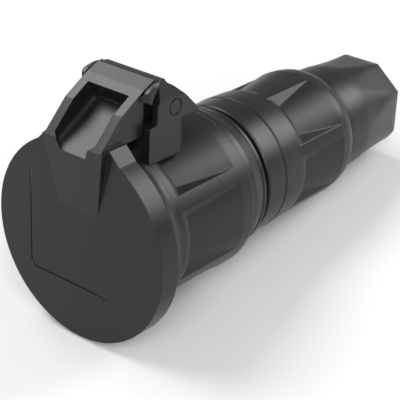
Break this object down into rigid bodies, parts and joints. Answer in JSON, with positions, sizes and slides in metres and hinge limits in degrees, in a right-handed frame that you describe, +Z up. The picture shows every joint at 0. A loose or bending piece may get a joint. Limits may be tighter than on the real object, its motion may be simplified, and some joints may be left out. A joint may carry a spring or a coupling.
{
  "type": "trailing socket",
  "caption": "Earthed trailing socket in a rubber housing, with a sprung hinged lid and a screw-on rear cap that clamps the cord.",
  "frame": {"origin": "centre of the plug recess's mouth, on the body's axis", "axes": "+X along the body to the cord's end, +Z up to the lid's hinge, +Y to the left when looking along +X with the hinge up"},
  "size_m": [0.1345, 0.0568, 0.0707],
  "materials": {
    "rubber": "satin",
    "plastic": "satin",
    "seal": "matte",
    "insert": "matte",
    "brass": "plain",
    "steel": "plain",
    "pin": "satin"
  },
  "bodies": {
    "housing": {"front_housing": "rubber", "hinge_frame": "plastic", "socket_insert": "insert", "centre_screw": "steel", "contact_carrier": "insert", "line_contact": "brass", "neutral_contact": "brass", "earth_strap": "brass", "line_screw": "steel", "neutral_screw": "steel", "earth_screw": "steel", "coupling_collar": "plastic", "joint_seal": "seal", "clamping_claws": "plastic", "cord_seal": "seal", "hinge_pin": "pin", "lid_spring": "steel"},
    "lid": {"lid": "plastic", "lid_seal": "seal"},
    "tail": {"tail_sleeve": "rubber", "thrust_ring": "plastic"},
    "cap": {"cap_nut": "plastic", "cap_grip": "rubber"}
  },
  "joints": [
    {"name": "lid_hinge", "type": "hinge", "parent": "housing", "child": "lid", "pos_m": [0.0187, 0, 0.0337], "axis": [0, 1, 0], "range_deg": [0, 110], "stiffness_Nm_per_rad": 0.02, "springref_deg": -143.24},
    {"name": "tail_slide", "type": "slide", "parent": "housing", "child": "tail", "axis": [1, 0, 0], "range_m": [0, 0.006]},
    {"name": "cap_turn", "type": "hinge", "parent": "tail", "child": "cap", "pos_m": [0.07, 0, 0], "axis": [1, 0, 0], "range_deg": [0, 720]}
  ],
  "couplings": [
    {"joint": "tail_slide", "follows": "cap_turn", "m_per_rad": 0.00047746}
  ]
}
